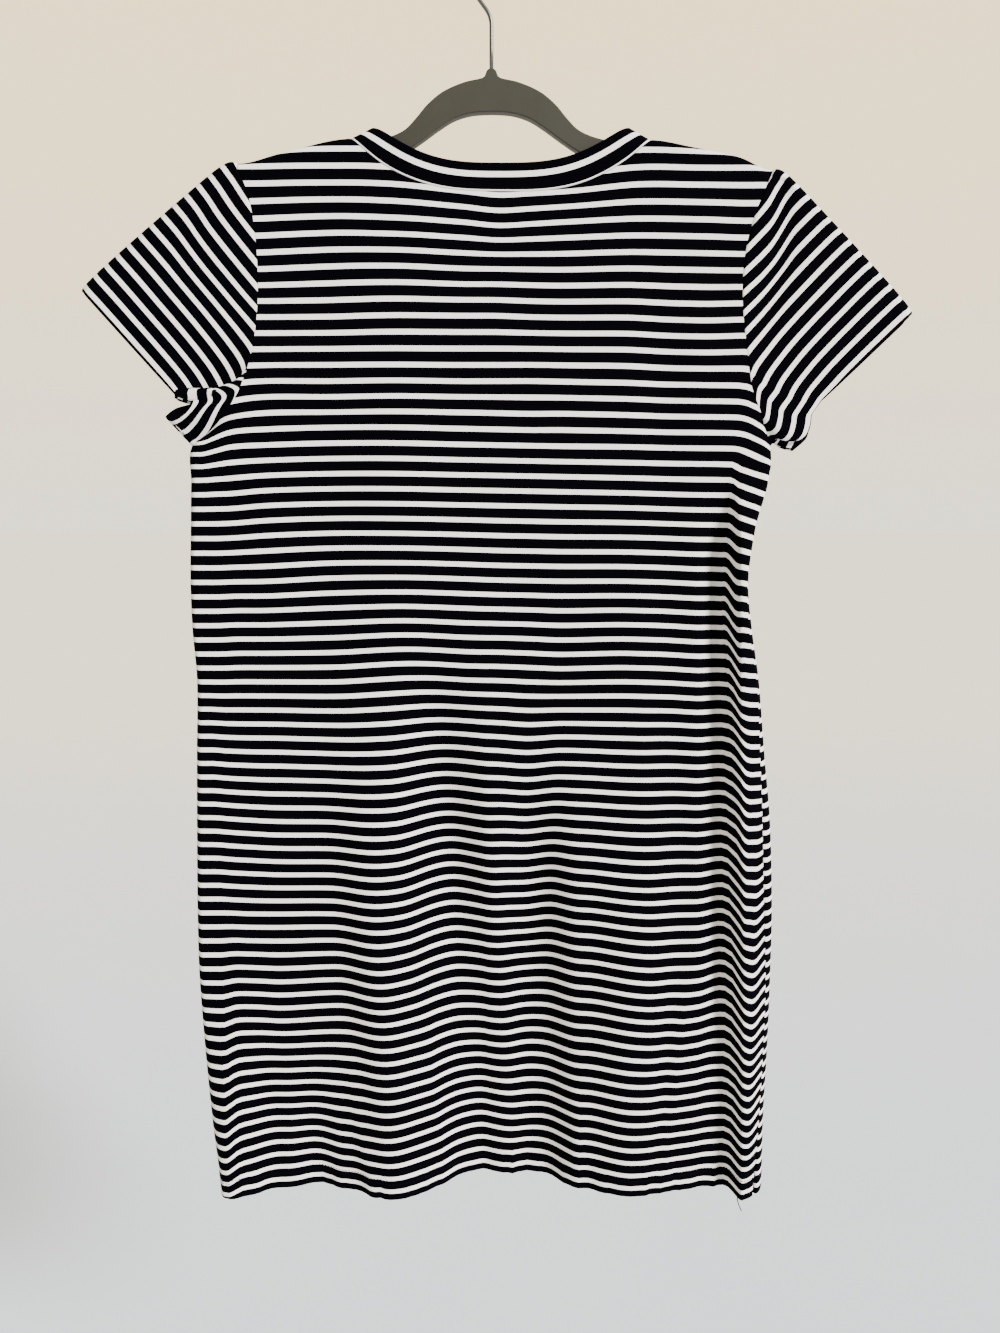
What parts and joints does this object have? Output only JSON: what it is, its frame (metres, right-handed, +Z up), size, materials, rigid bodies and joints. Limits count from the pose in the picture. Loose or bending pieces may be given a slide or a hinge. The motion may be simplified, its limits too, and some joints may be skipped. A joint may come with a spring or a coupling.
{
  "type": "t-shirt dress on a hanger",
  "caption": "Short-sleeved striped jersey t-shirt dress with a round neck, hanging open and empty from a moulded hanger with a wire hook.",
  "frame": {"origin": "inside of the hook's crown, where a rail or wall hook carries the hanger", "axes": "+Z up, +X across the shoulders to the right as the back of the dress is seen, the back of the dress faces -Y"},
  "size_m": [0.69, 0.0749, 1.0641],
  "materials": {
    "striped_jersey": "matt jersey knit with even navy-black and white stripes",
    "band_jersey": "the same jersey folded double, its stripes running along the band",
    "hanger_plastic": "satin moulded plastic, grey",
    "hook_steel": "bright drawn wire"
  },
  "bodies": {
    "root": {"back_panel": "striped_jersey", "front_panel": "striped_jersey", "left_sleeve": "striped_jersey", "right_sleeve": "striped_jersey", "neckband": "band_jersey", "hanger_body": "hanger_plastic", "hanger_hook": "hook_steel"}
  },
  "joints": []
}
